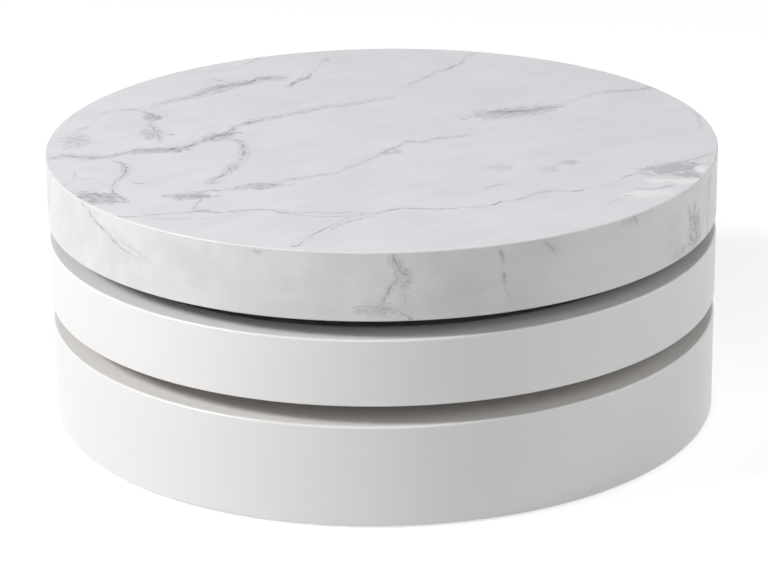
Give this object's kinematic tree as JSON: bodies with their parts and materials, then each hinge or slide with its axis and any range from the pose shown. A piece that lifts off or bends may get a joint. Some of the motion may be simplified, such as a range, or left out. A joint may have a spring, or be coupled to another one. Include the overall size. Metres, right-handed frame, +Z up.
{
  "type": "swivel coffee table",
  "caption": "Round low table of three stacked drums: the storage tray and the marble-effect top swing out on a hidden offset column above a closed base.",
  "frame": {"origin": "on the floor under the middle of the base drum", "axes": "+Z up, +Y towards the offset swivel column, which is at the back, +X to the right seen from the front"},
  "size_m": [0.8, 0.8, 0.325],
  "materials": {
    "white_lacquer": "fibreboard with white satin-gloss lacquer",
    "marble_laminate": "fibreboard with glossy white marble-effect sheet",
    "fibreboard": "raw fibreboard",
    "backing_board": "fibreboard with grey backing paper",
    "steel": "bright drawn and milled steel",
    "zinc_steel": "zinc-plated steel",
    "plastic": "natural polyamide"
  },
  "bodies": {
    "base": {"base_top_board": "white_lacquer", "base_side_wall": "white_lacquer", "base_bottom_board": "fibreboard", "base_long_ribs": "fibreboard", "base_cross_ribs": "fibreboard", "base_column_block": "fibreboard", "floor_glides": "plastic", "swivel_column": "steel", "column_bolts": "zinc_steel", "tray_slide_plate": "plastic", "pin_sleeve": "plastic"},
    "tray": {"tray_floor": "white_lacquer", "tray_wall": "white_lacquer", "tray_hub": "steel", "tray_hub_lining": "plastic", "tray_hub_bolts": "zinc_steel"},
    "top": {"marble_top_board": "marble_laminate", "marble_side_wall": "marble_laminate", "top_bottom_board": "backing_board", "top_long_ribs": "fibreboard", "top_cross_ribs": "fibreboard", "top_pivot_block": "fibreboard", "top_pivot": "steel", "top_pivot_bolts": "zinc_steel", "pin_retaining_washer": "zinc_steel", "pin_retaining_bolt": "zinc_steel"}
  },
  "joints": [
    {"name": "tray_swivel", "type": "hinge", "parent": "base", "child": "tray", "pos_m": [0, 0.2, 0.138], "axis": [0, 0, 1], "continuous": true},
    {"name": "top_swivel", "type": "hinge", "parent": "base", "child": "top", "pos_m": [0, 0.2, 0.2395], "axis": [0, 0, 1], "continuous": true}
  ]
}
